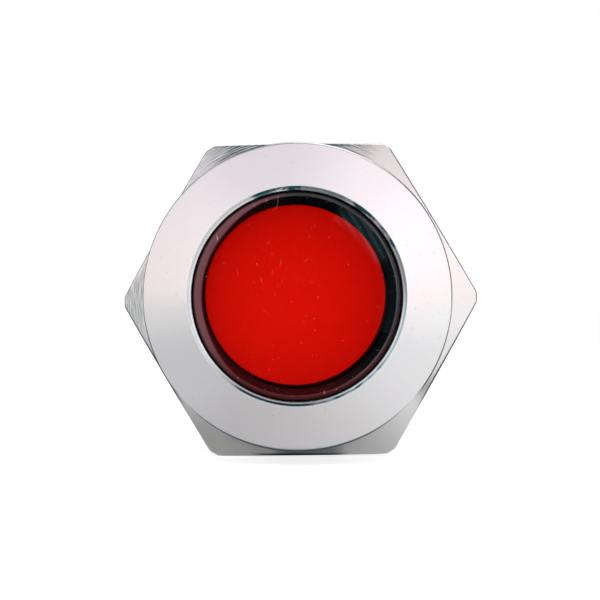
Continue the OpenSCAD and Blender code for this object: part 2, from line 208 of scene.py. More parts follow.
def skin(name, sheets, body, replaced=(), crease=40):
    """One object from sheets of points in millimetres.

    The sheets are joined, their common points merged and the faces turned outwards. The shading is
    smooth, but for edges sharper than crease degrees."""
    points, faces, first = [], [], 0
    for sheet in sheets:
        points.append(sheet.reshape(-1, 3) * MM)
        faces.append(faces_of(sheet.shape[0], sheet.shape[1], first))
        first += points[-1].shape[0]
    mesh = bpy.data.meshes.new(name)
    mesh.from_pydata(np.concatenate(points).tolist(), [], np.concatenate(faces).tolist())
    work = bmesh.new()
    work.from_mesh(mesh)
    bmesh.ops.remove_doubles(work, verts=work.verts, dist=2e-7)
    bmesh.ops.dissolve_degenerate(work, edges=work.edges, dist=1e-8)
    bmesh.ops.recalc_face_normals(work, faces=work.faces)
    open_edges = sum(not edge.is_manifold for edge in work.edges)
    work.to_mesh(mesh)
    work.free()
    mesh.polygons.foreach_set("use_smooth", np.ones(len(mesh.polygons), bool))
    mesh.set_sharp_from_angle(angle=math.radians(crease))
    piece = bpy.data.objects.new(name, mesh)
    bpy.context.scene.collection.objects.link(piece)
    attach(piece, body)
    if replaced:
        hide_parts(*replaced)
    pieces_made[name] = piece
    triangles = sum(len(p.vertices) - 2 for p in mesh.polygons)
    print(f"{name}: {triangles} triangles, {open_edges} open edges")
    return piece


# %% [markdown]
# ## Camera
#
# The lamp is looked at from straight in front and close by, a little from its right and from below, so
# the nut behind the bezel seems smaller than it is and slides a little off centre. The camera looks
# along +Y and aims just beside the lamp's axis.

# %% Camera
rim_plane = -(cone_top - CONE_RISE) * MM
camera_data = bpy.data.cameras.new("camera")
camera_data.sensor_width = 36
camera_data.lens = 84.3
camera_data.clip_start = 0.001
camera_data.clip_end = 20
camera = bpy.data.objects.new("camera", camera_data)
CAMERA_OFF = 3.3
CAMERA_FAR = 113
camera.location = (CAMERA_OFF * MM, rim_plane - CAMERA_FAR * MM, -CAMERA_OFF * MM)
bpy.context.scene.collection.objects.link(camera)


def aim(obj, target):
    """Turns obj so that its -Z looks at target and its Y stays upward."""
    way = np.array(target) - np.array(obj.location)
    obj.rotation_euler = (math.atan2(math.hypot(way[0], way[1]), -way[2]), 0,
                          math.atan2(-way[0], way[1]))


aim(camera, (0.235 * MM, rim_plane, -0.30 * MM))
bpy.context.scene.camera = camera
bpy.context.scene.view_settings.view_transform = "Standard"
print("camera", [round(c, 4) for c in camera.location])

# %% [markdown]
# ## Words for shader maths
#
# A material is a small sum: how far from the axis, how close to an edge, how much noise. It reads best
# as a sum. A Value wraps a socket, and the usual signs between Values add Math nodes behind the scenes.
# Nodes.add puts in any other node: settings first, since some settings change which sockets there are.

# %% Values and nodes
class Value:
    """A socket that carries one number, for use with + - * / and the functions below."""

    def __init__(self, nodes, socket):
        self.nodes, self.socket = nodes, socket

    def maths(self, operation, *others, clamp=False):
        """The Math node of that operation on this value and the others."""
        inputs = dict(enumerate((self,) + others))
        return self.nodes.add("ShaderNodeMath", {"operation": operation, "use_clamp": clamp}, inputs)

    def __add__(self, other):
        return self.maths("ADD", other)

    def __sub__(self, other):
        return self.maths("SUBTRACT", other)

    def __mul__(self, other):
        return self.maths("MULTIPLY", other)

    def __truediv__(self, other):
        return self.maths("DIVIDE", other)

    def __neg__(self):
        return self.maths("MULTIPLY", -1.0)

    def __rsub__(self, other):
        return (-self).maths("ADD", other)

    __radd__ = __add__
    __rmul__ = __mul__

    def size(self):
        """This value without its sign."""
        return self.maths("ABSOLUTE")

    def step(self, low, high):
        """Smoothly from 0 to 1 as this value goes from low to high. low may be the larger of the two."""
        return self.nodes.add("ShaderNodeMapRange", {"interpolation_type": "SMOOTHSTEP"},
                              {"Value": self, "From Min": low, "From Max": high})

    def band(self, low, high, fade_in, fade_out):
        """1 between low and high, and 0 beyond.

        It rises over fade_in just above low and falls over fade_out just below high."""
        return self.step(low, low + fade_in) * self.step(high, high - fade_out)

    def clip(self):
        """This value, kept between 0 and 1."""
        return self.maths("ADD", 0.0, clamp=True)


class Nodes:
    """The nodes of one material or world, with the few helpers that the finishes share."""

    def __init__(self, owner):
        owner.use_nodes = True
        self.tree = owner.node_tree
        self.tree.nodes.clear()

    def add(self, kind, settings=None, inputs=None, out=0):
        """Adds a node: its settings, then its sockets by name or number. Gives the output socket out."""
        node = self.tree.nodes.new(kind)
        for key, value in (settings or {}).items():
            setattr(node, key, value)
        for key, value in (inputs or {}).items():
            if isinstance(value, Value):
                self.tree.links.new(value.socket, node.inputs[key])
            elif isinstance(value, tuple) and node.inputs[key].type == "RGBA":
                node.inputs[key].default_value = (*value[:3], 1)
            else:
                node.inputs[key].default_value = value
        return Value(self, node.outputs[out]) if len(node.outputs) else None

    def vector(self, operation, a, b=(0.0, 0.0, 0.0), out=0):
        """The Vector Math node of that operation."""
        return self.add("ShaderNodeVectorMath", {"operation": operation}, {0: a, 1: b}, out)

    def mix(self, share, a, b):
        """Colour a where share is 0, colour b where it is 1."""
        return self.add("ShaderNodeMix", {"data_type": "RGBA"}, {"Factor": share, 6: a, 7: b}, 2)

    def noise(self, place, scale, detail=2.0, rough=0.5, kind="3D"):
        """Noise from 0 to 1 about scale times a metre, at a place or, if kind is 1D, along a number."""
        key = "W" if kind == "1D" else "Vector"
        return self.add("ShaderNodeTexNoise", {"noise_dimensions": kind},
                        {key: place, "Scale": scale, "Detail": detail, "Roughness": rough})

    def bump(self, height, distance):
        """A normal for a surface whose height 1 stands distance metres proud."""
        return self.add("ShaderNodeBump", {}, {"Height": height, "Distance": distance, "Strength": 1.0})

    def place(self):
        """Object coordinates, in metres, and their x, y and z."""
        where = self.add("ShaderNodeTexCoord", {}, {}, "Object")
        parts = self.add("ShaderNodeSeparateXYZ", {}, {0: where})
        split = parts.socket.node.outputs
        return where, Value(self, split[0]), Value(self, split[1]), Value(self, split[2])

    def from_axis(self, x, z):
        """Distance from the lamp's axis, in metres."""
        flat = self.add("ShaderNodeCombineXYZ", {}, {0: x, 2: z})
        return self.vector("LENGTH", flat, out="Value")

    def surface(self, shader):
        """Ends a material with that shader."""
        self.add("ShaderNodeOutputMaterial", {}, {"Surface": shader})


def material(name):
    """A new material and its empty node tree."""
    made = bpy.data.materials.new(name)
    return made, Nodes(made)


def dress(finish, *names):
    """Gives a finish to new pieces and to CAD nodes that stay, by name."""
    for name in names:
        piece = pieces_made.get(name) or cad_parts[name]
        piece.data.materials.clear()
        piece.data.materials.append(finish)
    print(finish.name, "on", ", ".join(names))


def unit(degrees):
    """Cosine and sine of an angle in degrees, for a direction seen from the front (0 is right, 90 is up)."""
    return math.cos(math.radians(degrees)), math.sin(math.radians(degrees))


def facing(across, up, far, degrees):
    """Cosine of the angle between the direction (across, up), whose length is far, and the one at degrees."""
    right_share, up_share = unit(degrees)
    return (across * right_share + up * up_share) / far


# %% [markdown]
# ## Bezel and shank
#
# The metal body is one bar of brass, turned and then nickel plated: a low cone round the window, a
# straight edge, a relief behind it for the gasket, a plain neck that fills the panel's hole, and the
# thread. The thread could be faked by rings or by a bump, but the nut really screws along it, so it is
# cut as a true helix. Its rows follow the helix, and at both ends they are pressed against the end of
# the thread, where a chamfer takes the tooth down to the bottom of the groove.

# %% The screw thread as one function of angle and height
def tooth(low_r, high_r, shift, steps=3):
    """Height (as a share of the pitch) and radius of points over one tooth.

    The sharp V of a metric thread is pitch radius + 0.866 pitch (1/2 - 2 |u - 1/2| - 1/2) for u from 0
    to 1. It is moved by shift and cut off at low_r and high_r, and its four corners are rounded."""
    slope = 2 * 0.866 * PITCH
    low_u = (low_r - shift - PITCH_R) / slope + 0.25
    high_u = (high_r - shift - PITCH_R) / slope + 0.25
    corners = [(low_r, low_u), (high_r, high_u), (high_r, 1 - high_u), (low_r, 1 - low_u)]
    points = rounded([(low_r, -low_u)] + corners + [(low_r, 1 + low_u)], 0.05, steps, 0.01)
    inner = points[steps + 3:-(steps + 3)]
    return inner[:, 1], inner[:, 0]


def thread(low_r, high_r, shift, bottom, top, turn, limit):
    """A helical sheet from height bottom to height top, for a right-hand thread.

    The tooth is repeated along the axis, and every angle lifts it by its share of the pitch. Heights
    are pressed into bottom..top, the radius follows from the height there, and limit(height, radius)
    cuts it off at the ends."""
    u, r = tooth(low_r, high_r, shift)
    first = math.floor(bottom / PITCH) - 2
    count = math.ceil((top - bottom) / PITCH) + 3
    rows = ((first + np.arange(count))[:, None] + u[None, :]).reshape(-1) * PITCH
    lift = PITCH * turn / (2 * np.pi)
    out = np.clip(rows[:, None] + lift[None, :], bottom, top)
    phase = np.mod((out - lift[None, :]) / PITCH, 1)
    radius = np.interp(phase, u, r, period=1)
    return on_lamp(limit(out, radius), turn[None, :], out)


# %% Bezel and shank
THREAD_CHAMFER = 0.5
lathe_turn = full_turn(168)
thread_top = NECK_END - (NECK_R - GROOVE_R)
chamfer_r = PITCH_R - THREAD_CHAMFER
thread_end = shank_end + (GROOVE_R - chamfer_r)


def shank_limit(out, r):
    """The groove's radius at both ends of the thread, and 45 degrees outwards from there."""
    return np.minimum(r, GROOVE_R + np.minimum(thread_top - out, out - thread_end))


bezel_corners = [
    (GROOVE_R, thread_top), (NECK_R, NECK_END), (NECK_R, 0), (RELIEF_R, 0), (RELIEF_R, gasket_top),
    (bezel_r - EDGE_BREAK, gasket_top), (bezel_r, gasket_top + EDGE_BREAK),
    (bezel_r, cone_top - CONE_RISE - EDGE_BREAK * 0.3),
    (OPENING_R + OPENING_CHAMFER, cone_top), (OPENING_R, cone_top - OPENING_FALL),
    (OPENING_R, SEAT), (SHANK_BORE, SEAT), (SHANK_BORE, shank_end),
    (chamfer_r, shank_end), (GROOVE_R, thread_end)]
bezel_radii = [0, 0.04, 0.08, 0.08, 0.08, 0.12, 0.12, 0.25, 0.04, 0.06, 0.04, 0.04, 0.1, 0.04, 0]
bezel_profile = rounded(bezel_corners, bezel_radii, steps=6)[1:-1]
skin("bezel_and_shank",
     [turned(bezel_profile, lathe_turn, closed=False),
      thread(GROOVE_R, CREST_R, -0.02, thread_end, thread_top, lathe_turn, shank_limit)],
     "lamp", ["housing"])

# %% [markdown]
# ## Mounting nut
#
# The nut starts as hexagon bar. Its corners are turned back a little and bevelled on both faces, which
# leaves the curved edges that every nut has. All of it is one function of the angle: the radius of a
# hexagon's side grows towards its corners, and the bevel reaches down the side as far as that radius
# asks. So each angle has its own profile, and all profiles are rounded in one call.

# %% Mounting nut
corner_turn = math.degrees(math.acos(NUT_FLAT / NUT_CORNER_R))
near_corner = corner_turn + np.array([-0.6, -0.3, -0.12, 0, 0.12, 0.5, 1.0])
half_flat = np.radians(np.concatenate([np.linspace(0, corner_turn - 1.2, 11), near_corner]))
sector = np.concatenate([-half_flat[:0:-1], half_flat, [math.radians(30)]])
nut_turn = (np.radians(60) * np.arange(6)[:, None] + math.radians(30) + sector[None, :]).reshape(-1)
nut_turn = NUT_CLOCK + np.concatenate([nut_turn, nut_turn[:1] + 2 * np.pi])
nut_mid = (nut_front + nut_back) / 2
nut_half = (nut_front - nut_back) / 2


def side_radius(turn):
    """Radius of the nut's side at an angle.

    On a flat it is half the width across flats over the cosine of the angle from the flat's middle. It
    is no more than the radius that the corners are turned to. The two meet in a soft minimum, which
    rounds the edge between them."""
    from_middle = np.mod(turn - NUT_CLOCK, np.radians(60)) - np.radians(30)
    flat, soft = NUT_FLAT / np.cos(from_middle), 0.02
    apart = (flat - NUT_CORNER_R) / 2
    return (flat + NUT_CORNER_R) / 2 - np.sqrt(apart ** 2 + soft ** 2)


def nut_corners(turn):
    """The nut's profile at each angle, from the front of the thread outwards and back to its rear."""
    side = side_radius(turn)
    low = nut_half - (side - NUT_FACE_R) * NUT_SLOPE
    same = np.ones_like(turn)
    sink = nut_half - (NUT_SINK_R - NUT_GROOVE_R)
    front = [(NUT_GROOVE_R * same, sink * same), (NUT_SINK_R * same, nut_half * same),
             (NUT_FACE_R * same, nut_half * same), (side, low)]
    rear = [(r, -out) for r, out in front[::-1]]
    return np.stack([np.stack(pair, -1) for pair in front + rear], 1)


def nut_limit(out, r):
    """The countersinks open the thread at both ends, at 45 degrees."""
    return np.maximum(r, NUT_SINK_R - (nut_half - np.abs(out - nut_mid)))


nut_radii = [0, 0.03, 0.06, 0.26, 0.26, 0.06, 0.03, 0]
nut_profiles = rounded(nut_corners(nut_turn), nut_radii, steps=6)[:, 1:-1]
nut_body = on_lamp(nut_profiles[:, :, 0].T, nut_turn[None, :], nut_mid + nut_profiles[:, :, 1].T)
sink_depth = NUT_SINK_R - NUT_GROOVE_R
skin("hexagon_nut",
     [nut_body, thread(NUT_CREST_R, NUT_GROOVE_R, 0.02, nut_back + sink_depth, nut_front - sink_depth,
                       nut_turn, nut_limit)],
     "nut", ["mounting_nut"])

# %% [markdown]
# ## Lens and diffuser
#
# The lens is one clear red moulding: a thick window with a rounded edge, a tube wall behind it, and a
# wider shoulder and flange that the bezel's lip holds back. The milky disc sits at the end of its blind
# bore. Through the window the disc shows bright red, and past the disc the eye looks down into the wall
# of the tube, which has nothing bright behind it and shows as a dark ring. The bore sits a little off
# centre, so that ring is wider on one side. Both are turned profiles: the rows inside the bore are
# moved sideways before the mesh is made.

# %% Lens and diffuser
BORE_SHIFT = np.array([-0.16, 0.0, 0.12])
DISC_GAP = 0.03


def shifted(sheet, inside):
    """The sheet with the rows that are inside the bore moved by the bore's own offset."""
    return sheet + inside[:, None, None] * BORE_SHIFT


round_turn = full_turn(144)
shoulder_r = lens_flange_r - SEAL_D
lens_corners = [(0, lens_front), (LENS_R, lens_front), (LENS_R, SEAT), (shoulder_r, SEAT),
                (shoulder_r, SEAT - SEAL_D), (lens_flange_r, SEAT - SEAL_D), (lens_flange_r, lens_back),
                (LENS_BORE, lens_back), (LENS_BORE, WINDOW), (0, WINDOW)]
lens_radii = [0, LENS_EDGE, 0.03, 0.05, 0.1, 0.1, 0.1, 0.1, 0.08, 0]
lens_profile = rounded(lens_corners, lens_radii, steps=8)
in_bore = np.repeat([0, 0, 0, 0, 0, 0, 0, 1, 1, 1], len(lens_profile) // len(lens_corners))
skin("red_window", [shifted(turned(lens_profile[1:-1], round_turn, closed=False), in_bore[1:-1])],
     "lamp", ["lens"])

disc_face = disc_front - DISC_GAP
disc_corners = [(0, disc_face), (disc_r, disc_face), (disc_r, disc_back), (0, disc_back)]
disc_profile = rounded(disc_corners, [0, 0.06, 0.06, 0], steps=4)[1:-1]
skin("milky_disc", [shifted(turned(disc_profile, round_turn, closed=False), np.ones(len(disc_profile)))],
     "lamp", ["diffuser"])

# %% [markdown]
# ## Gasket, base and potting
#
# Behind the bezel sits a flat rubber ring. Behind the thread comes a moulded black base with a well,
# and the well is filled with potting that holds the two blades. The potting was poured as a liquid: it
# creeps a little up the wall of the well and up the blades, so its surface is a flat with two small
# rising skirts.

# %% Gasket and base
FIT = 0.05
SHANK_WALL = 1.1
BASE_WALL = 1.0
BASE_FLOOR = 3.0
gasket_bore = NECK_R + FIT
gasket_corners = [(gasket_bore, gasket_low), (gasket_r, gasket_low), (gasket_r, gasket_top),
                  (gasket_bore, gasket_top)]
skin("rubber_gasket", [turned(rounded(gasket_corners, 0.18, steps=5), round_turn)],
     "lamp", ["panel_gasket"])

spigot_r = PITCH_R - SHANK_WALL - FIT
spigot_bore = spigot_r - BASE_WALL
floor_back = potting_low
floor_front = floor_back + BASE_FLOOR
base_corners = [(0, floor_front), (spigot_bore, floor_front), (spigot_bore, spigot_top),
                (spigot_r, spigot_top), (spigot_r, shank_end), (base_r, shank_end), (base_r, base_end),
                (well_r, base_end), (well_r, floor_back), (0, floor_back)]
base_radii = [0, 0.2, 0.15, 0.2, 0.05, 0.25, 0.3, 0.2, 0.1, 0]
skin("moulded_base", [turned(rounded(base_corners, base_radii, steps=5)[1:-1], round_turn, closed=False)],
     "lamp", ["terminal_base"])

# %% Potting with its raised skirts
BLADE_AT = [sum(c[0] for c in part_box(name)) / 2 / MM for name in ("terminal_1", "terminal_2")]
BLADE_W, BLADE_T = 2.8, 0.5
WALL_SKIRT, WALL_REACH = 0.22, 0.25
BLADE_SKIRT, BLADE_REACH = 0.28, 0.22


def potting_height(r, turn):
    """Height of the poured surface, which looks backwards, so a skirt that rises lowers this number.

    It is the level of the pour, less a skirt that dies away with the distance from the well's wall and
    one that dies away with the distance from each blade's outline, plus a faint swell."""
    x, z = r * np.cos(turn), r * np.sin(turn)
    wall = WALL_SKIRT * np.exp(-(well_r - r) / WALL_REACH)
    gaps = [np.hypot(np.maximum(np.abs(x - at) - BLADE_W / 2, 0), np.maximum(np.abs(z) - BLADE_T / 2, 0))
            for at in BLADE_AT]
    skirts = sum(BLADE_SKIRT * np.exp(-gap / BLADE_REACH) for gap in gaps)
    swell = 0.03 * np.sin(1.1 * x + 0.6) * np.cos(0.9 * z - 0.4)
    return potting_top - wall - skirts + swell


potting_rows = well_r * np.linspace(0, 1, 72) ** 0.8
potting_columns = full_turn(180)
potting_r, potting_turn = np.meshgrid(potting_rows, potting_columns, indexing="ij")
pour = on_lamp(potting_r, potting_turn, potting_height(potting_r, potting_turn))
potting_floor = potting_low - 0.3
underside = np.array([(well_r, potting_low - 0.5), (well_r, potting_floor), (0, potting_floor)])
under = turned(underside, potting_columns, closed=False)
skin("potting", [pour, np.stack([pour[-1], under[1]]), under[1:]], "lamp", ["epoxy_seal"])

# %% [markdown]
# ## Blades
#
# Each blade is stamped from tinned brass strip: straight sides, a tapered tip and a hole for the wire.
# Seen from the middle of the hole, its outline is one distance for every direction, namely the nearest
# of the straight sides. So the blade is a ring-like sheet round its own hole: down the wall of the hole,
# out over one face, over the edge and back over the other face. A narrow tail goes on into the base.

# %% Blades
blade_tip = -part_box("terminal_1")[1].y / MM
HOLE_R, HOLE_BACK, TIP_TAPER = 0.65, 2.6, 0.7
TAIL_W = 1.8
blade_root = potting_low - 0.4
tail_low, tail_top = blade_root - 0.6, floor_front + 1.8


def blade_outline(way):
    """Distance from the hole's middle to the blade's outline in the direction way.

    0 is across, and a quarter turn points to the root. It is the least of a side's distance over the
    cosine between its normal and the direction, of the sides that face that way."""
    to_root, to_tip = blade_root - (blade_tip + HOLE_BACK), HOLE_BACK
    lean = math.sqrt(0.5)
    sides = [(1, 0, BLADE_W / 2), (-1, 0, BLADE_W / 2), (0, 1, to_root), (0, -1, to_tip),
             (lean, -lean, (BLADE_W / 2 + to_tip - TIP_TAPER) * lean),
             (-lean, -lean, (BLADE_W / 2 + to_tip - TIP_TAPER) * lean)]
    cosines = [np.maximum(a * np.cos(way) + b * np.sin(way), 1e-6) for a, b, _ in sides]
    return np.min([d / c for (_, _, d), c in zip(sides, cosines)], axis=0)


def blade_sheet(at):
    """The sheet round the hole.

    At every direction it is a rounded rectangle from the hole's radius to the outline, as thick as the
    strip. Directions stand close together at the outline's corners."""
    corner_ways = [math.atan2(b, a * s) for s in (1, -1) for a, b in
                   ((BLADE_W / 2, blade_root - blade_tip - HOLE_BACK), (BLADE_W / 2, TIP_TAPER - HOLE_BACK),
                    (BLADE_W / 2 - TIP_TAPER, -HOLE_BACK))]
    near = [w + d for w in corner_ways for d in (-0.02, 0, 0.02)]
    way = np.unique(np.round(np.concatenate([np.linspace(-math.pi, math.pi, 97)[:-1], near]), 9))
    way = np.append(way, way[0] + 2 * np.pi)
    out_r, same = blade_outline(way), np.ones_like(way)
    half_t = BLADE_T / 2
    box = [(HOLE_R * same, -half_t * same), (out_r, -half_t * same), (out_r, half_t * same),
           (HOLE_R * same, half_t * same)]
    ring = rounded(np.stack([np.stack(pair, -1) for pair in box], 1), 0.07, steps=3, hold=0.02)
    ring = np.concatenate([ring, ring[:, :1]], 1)
    x = at + ring[:, :, 0].T * np.cos(way)
    out = blade_tip + HOLE_BACK + ring[:, :, 0].T * np.sin(way)
    return np.stack([x, -out, ring[:, :, 1].T], -1)


def tail_sheet(at):
    """A rounded rectangle, carried from inside the potting through the base's floor and beyond it.

    Both of its ends are drawn together to a point, which closes them."""
    half_w, half_t = TAIL_W / 2, BLADE_T / 2
    section = rounded([(half_w, -half_t), (half_w, half_t), (-half_w, half_t), (-half_w, -half_t)], 0.07, 3)
    section = np.concatenate([section, section[:1]])
    size = np.array([0, 1, 1, 0.0])[:, None]
    out = np.array([tail_low, tail_low, tail_top, tail_top])[:, None]
    return np.stack([at + size * section[:, 0], -out + 0 * section[:, 0], size * section[:, 1]], -1)


for number, at in enumerate(BLADE_AT, 1):
    skin(f"blade_{number}", [blade_sheet(at), tail_sheet(at)], "lamp", [f"terminal_{number}"])

# %% [markdown]
# ## Nickel
#
# Nickel over turned brass is bright, slightly warm, and never quite even. The tool leaves fine rings:
# on a face they run round the axis, on a cylinder they follow one another along it. Both are steps of
# one number, the distance from the axis plus Y, so one noise of that number makes the finish of the
# whole part. It moves the roughness a little and stands up as a very low bump. Over it lie wide clouds,
# pale pink and pale green blotches, a fine grain, and a few small dark pits.

# %% Nickel finishes
DARK_MARK_AND_SHADE = (0.018, 0.078, 0.092)
PINK_BLOTCH = (0.86, 0.55, 0.74)
GREEN_BLOTCH = (0.80, 0.84, 0.78)


def nickel(name, colour, rough, ring_height, streak, marks):
    """Plated, turned metal.

    ring_height is the depth of the tool's rings in metres, and streak is how far cloudy streaks change the
    roughness. marks(n, x, y, z, r) gives how dark the finish is: where the tool left it rough, and where dark
    reflection or shade is painted on."""
    made, n = material(name)
    where, x, y, z = n.place()
    r = n.from_axis(x, z)
    fine = n.noise(r + y, 9000.0, 2.0, 0.6, "1D")
    wide = n.noise(r + y, 1500.0, 1.0, 0.5, "1D")
    cloud = n.noise(where, 260.0, 3.0, 0.55)
    grain = n.noise(where, 8000.0, 1.0, 0.5)
    drawn = n.noise(n.vector("MULTIPLY", where, (60.0, 900.0, 60.0)), 6.0, 3.0, 0.6)
    pinkish = n.noise(where, 150.0, 3.0, 0.6).step(0.40, 0.62)
    greenish = n.noise(n.vector("ADD", where, (0.3, 0.1, 0.2)), 130.0, 3.0, 0.6).step(0.40, 0.62)
    pits = n.noise(where, 3300.0, 0.0, 0.5).step(0.79, 0.83)
    shade = (cloud - 0.5) * 0.13 + (drawn - 0.5) * streak * 0.5 + (grain - 0.5) * 0.5 + 0.5
    dull = tuple(c * f for c, f in zip(colour, (0.90, 0.89, 0.885)))
    bright = tuple(min(1.0, c * 1.05) for c in colour)
    base = n.mix(shade.clip(), dull, bright)
    base = n.mix(pinkish * 0.05, base, PINK_BLOTCH)
    base = n.mix(greenish * 0.05, base, GREEN_BLOTCH)
    base = n.mix(pits * 0.10, base, DARK_MARK_AND_SHADE)
    # The marks mix real tool marks with painted dark reflection and painted shade.
    base = n.mix(marks(n, x, y, z, r).clip(), base, DARK_MARK_AND_SHADE)
    roughness = rough + (fine - 0.5) * 0.10 + (cloud - 0.5) * 0.08 + (drawn - 0.5) * streak
    n.surface(n.add("ShaderNodeBsdfPrincipled", {}, {
        "Base Color": base, "Metallic": 1.0, "Roughness": roughness.clip(),
        "Normal": n.bump(fine * 0.6 + wide * 0.4, ring_height)}))
    return made


# %% [markdown]
# A tool that shakes leaves broken, dark marks, and the same ragged darkening also paints dark reflections and
# shade. On the chamfer of the opening it is painted dark reflection over the marks: short patches in a few
# directions, and an outer half that is duller than the thin bright line beside the lens. On the nut's bevel
# it is arcs and hairs, with painted shade under the bezel and along the front of the flats. Both come from
# one ragged noise that is stretched round the axis, and a mask keeps it where the marks and the painted
# darkness are.

# %% Tool marks, painted dark reflections and painted shade
def ragged(n, x, z, r, rings, spokes):
    """Noise of distance and direction.

    rings is how much it changes along a millimetre outwards, and spokes how much round a turn."""
    polar = n.add("ShaderNodeCombineXYZ", {}, {0: r * (rings / MM), 1: x / r * spokes, 2: z / r * spokes})
    return n.noise(polar, 1.0, 2.0, 0.6)


# Each row is a patch of painted dark reflection: the direction in degrees, half of how wide it spreads, how
# dark it is, and the two values of the noise between which it comes in.
WHOLE_CHAMFER = ((33, 8, 0.45, 0.34, 0.56), (53, 10, 0.85, 0.36, 0.56), (76, 16, 0.30, -0.2, 0.3),
                 (100, 17, 0.85, 0.34, 0.54))
OUTER_HALF = ((257, 25, 0.8, 0.22, 0.40), (302, 22, 0.5, 0.4, 0.55))


def chatter_and_dark_reflections(n, x, y, z, r):
    """How dark the chamfer of the opening is, as painted dark reflection over ragged tool marks: dull in its
    outer half, greyish at the upper right, and with broken patches in six directions."""
    on_chamfer = r.band((OPENING_R - 0.02) * MM, (OPENING_R + OPENING_CHAMFER) * MM, 0.06 * MM, 0.06 * MM) * \
        (-y).step((cone_top - 0.6) * MM, (cone_top - 0.4) * MM)
    broken = ragged(n, x, z, r, 3.0, 9.0)

    def patch(way, wide, depth, low, high):
        near = facing(x, z, r, way).step(unit(wide)[0], unit(wide * 0.6)[0])
        return near * broken.step(low, high) * depth

    # grey and dull paint dark reflections: grey at the upper right, and a duller outer half.
    inner = r.step((OPENING_R + 0.20) * MM, (OPENING_R + 0.14) * MM)
    grey = facing(x, z, r, 45).step(0.50, 0.85) * 0.28 * (inner * 0.6 + 0.7)
    dull = (1 - inner) * (facing(x, z, r, 340).step(0.0, 0.8) * 0.24 + 0.26)
    dark = grey + dull + broken.step(0.50, 0.80) * 0.12
    for row in WHOLE_CHAMFER:
        dark = dark + patch(*row)
    for row in OUTER_HALF:
        dark = dark + patch(*row) * (1 - inner)
    return on_chamfer * dark


def bevel_marks_and_shade(n, x, y, z, r):
    """How dark the nut's bevel is: faint arcs and hairs on the left, dense ones near the top flat and at the
    left corner, a patch of painted shade under the bezel and a line of painted shade along the front of the
    top and bottom flats."""
    arcs = ragged(n, x, z, r, 13.0, 5.0)
    hair = ragged(n, x, z, r, 34.0, 9.0)
    height = z.size()
    on_bevel = height.step((NUT_FLAT - 0.005) * MM, (NUT_FLAT - 0.045) * MM)
    above = facing(x, z, r, 93)
    tip = facing(x, z, r, 181).step(0.975, 0.998)
    left = facing(x, z, r, 145).step(0.0, 0.6) * on_bevel
    fan = above.step(0.84, 0.95) * on_bevel
    under = above.step(-0.965, -0.992) * on_bevel
    edge = height.step((NUT_FLAT - 0.25) * MM, (NUT_FLAT - 0.08) * MM) * on_bevel * \
        (-y).step((nut_front - 0.45) * MM, (nut_front - 0.30) * MM)
    faint = hair.step(0.40, 0.66) * (left * 0.28 + tip * 0.42 + 0.02) + arcs.step(0.50, 0.70) * left * 0.12
    dense = arcs.step(0.42, 0.54) * fan * 0.66 + hair.step(0.46, 0.60) * fan * 0.28
    # under is painted shade below the bezel, and edge is a painted shade line at the front of the flats.
    return faint + dense + under * 0.6 + edge * 0.9


turned_nickel = nickel("nickel_turned", (0.80, 0.795, 0.795), 0.20, 1.2e-6, 0.04, chatter_and_dark_reflections)
dress(turned_nickel, "bezel_and_shank")
nut_nickel = nickel("nickel_nut", (0.81, 0.805, 0.795), 0.24, 3.0e-6, 0.14, bevel_marks_and_shade)
dress(nut_nickel, "hexagon_nut")

# %% [markdown]
# ## Red lens, disc and reflector
#
# The lens is a real glass shader, red all through. The face has the few fine scratches and specks of a
# polished moulding that was handled. A hairline is noise that is stretched a lot in one direction and
# kept only at its highest.

# %% Scratches of the lens
LENS_RED = (0.98, 0.075, 0.045)
# Each row: the direction in degrees, the least noise that is kept, and the stretch. Less is longer.
SCRATCHES = ((84, 0.78, 200.0), (64, 0.735, 800.0), (108, 0.735, 700.0), (78, 0.745, 1000.0),
             (24, 0.75, 800.0), (150, 0.75, 900.0))


def hairlines(n, where, degrees, least, length):
    """Fine lines in one direction: places are turned, then stretched along the line."""
    laid = n.add("ShaderNodeMapping", {}, {"Vector": where, "Rotation": (0.0, math.radians(degrees), 0.0)})
    laid = n.vector("MULTIPLY", laid, (length, 1.0, 5500.0))
    return n.noise(laid, 1.0, 1.0, 0.4).step(least, least + 0.06)


red_lens, n = material("red_lens")
where, x, y, z = n.place()
r = n.from_axis(x, z)
lines = hairlines(n, where, *SCRATCHES[0])
for row in SCRATCHES[1:]:
    lines = lines + hairlines(n, where, *row)
on_face = (-y).step((lens_front - 0.05) * MM, (lens_front - 0.02) * MM)
lines = lines.clip() * on_face
specks = n.noise(where, 5200.0, 0.0, 0.5).step(0.825, 0.86) * on_face
marks = (lines * 0.40 + specks).clip()
glass = n.add("ShaderNodeBsdfPrincipled", {}, {
    "Base Color": LENS_RED, "Roughness": marks * 0.32 + 0.02, "IOR": 1.58, "Transmission Weight": 1.0,
    "Normal": n.bump(marks * -1.0, 2e-6)})
print("scratches in", len(SCRATCHES), "directions")

# %% [markdown]
# The edge of the lens is not clear. Its rounding was tumbled, not polished. So a frosted skin is mixed with
# the glass over the rounding and, thinly, over the wall of the tube. Its colour is painted reflection and
# shade: a pink sheen on the left, where the painted band is also wider, a dark red below, nearly black on the
# right, a narrower band at the top, a thin painted highlight at the upper right, and painted shade at the
# outermost edge, where the lens meets the metal. On the wall of the tube it is painted light, red on the
# left, and a dark teal painted reflection on the right.

